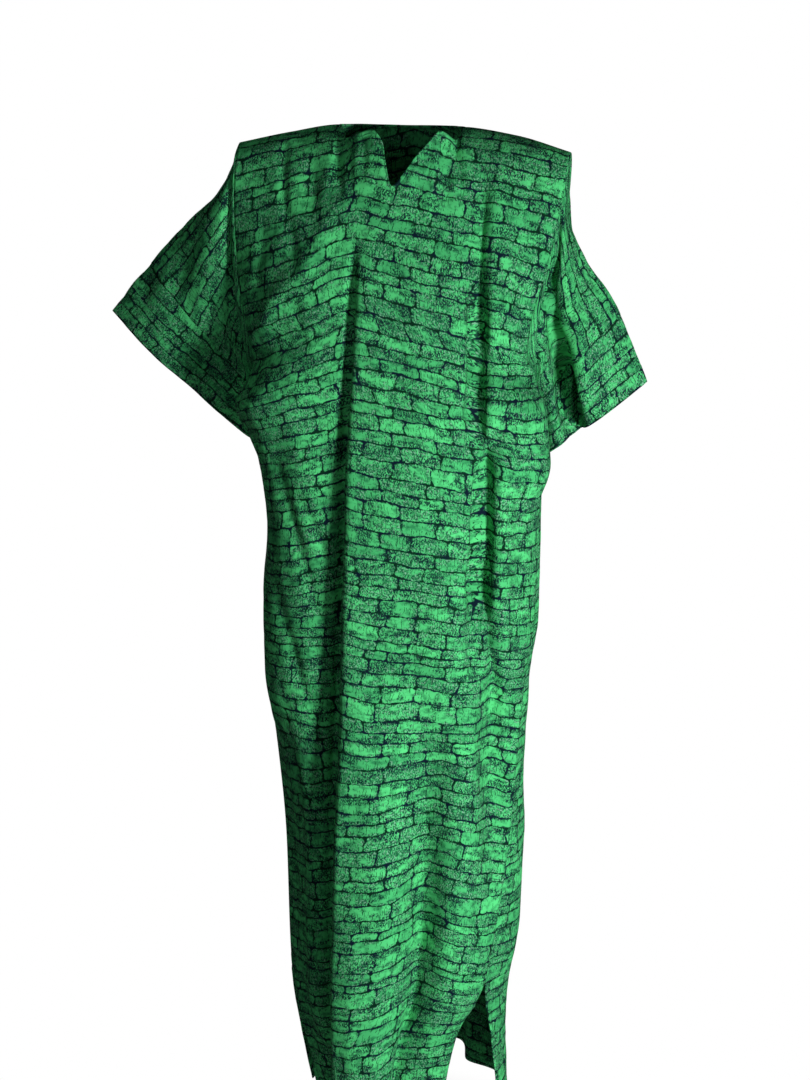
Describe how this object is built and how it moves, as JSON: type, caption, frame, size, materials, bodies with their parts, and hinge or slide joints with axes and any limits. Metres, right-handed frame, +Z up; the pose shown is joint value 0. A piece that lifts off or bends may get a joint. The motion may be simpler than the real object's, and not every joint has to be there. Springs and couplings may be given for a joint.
{
  "type": "boubou kaftan dress",
  "caption": "Ankle-length kaftan-cut dress with a notched round neck, wide short sleeves with deep bands and side slits, hollow as worn.",
  "frame": {"origin": "middle of the neck opening at the level of the shoulder seams, where the wearer's shoulders carry the garment", "axes": "+Z up, the front faces -Y, +X towards the wearer's left sleeve"},
  "size_m": [0.7618, 0.3019, 1.4086],
  "materials": {
    "body_front": "printed plain-weave cotton, green stones with navy joints",
    "body_back": "printed plain-weave cotton, green stones with navy joints",
    "sleeve_right": "printed plain-weave cotton, green stones with navy joints",
    "sleeve_left": "printed plain-weave cotton, green stones with navy joints",
    "cuff_right": "printed plain-weave cotton, print turned to run with the cuff",
    "cuff_left": "printed plain-weave cotton, print turned to run with the cuff"
  },
  "bodies": {
    "root": {"body_front": "body_front", "body_back": "body_back", "sleeve_right": "sleeve_right", "sleeve_left": "sleeve_left", "cuff_right": "cuff_right", "cuff_left": "cuff_left"}
  },
  "joints": []
}
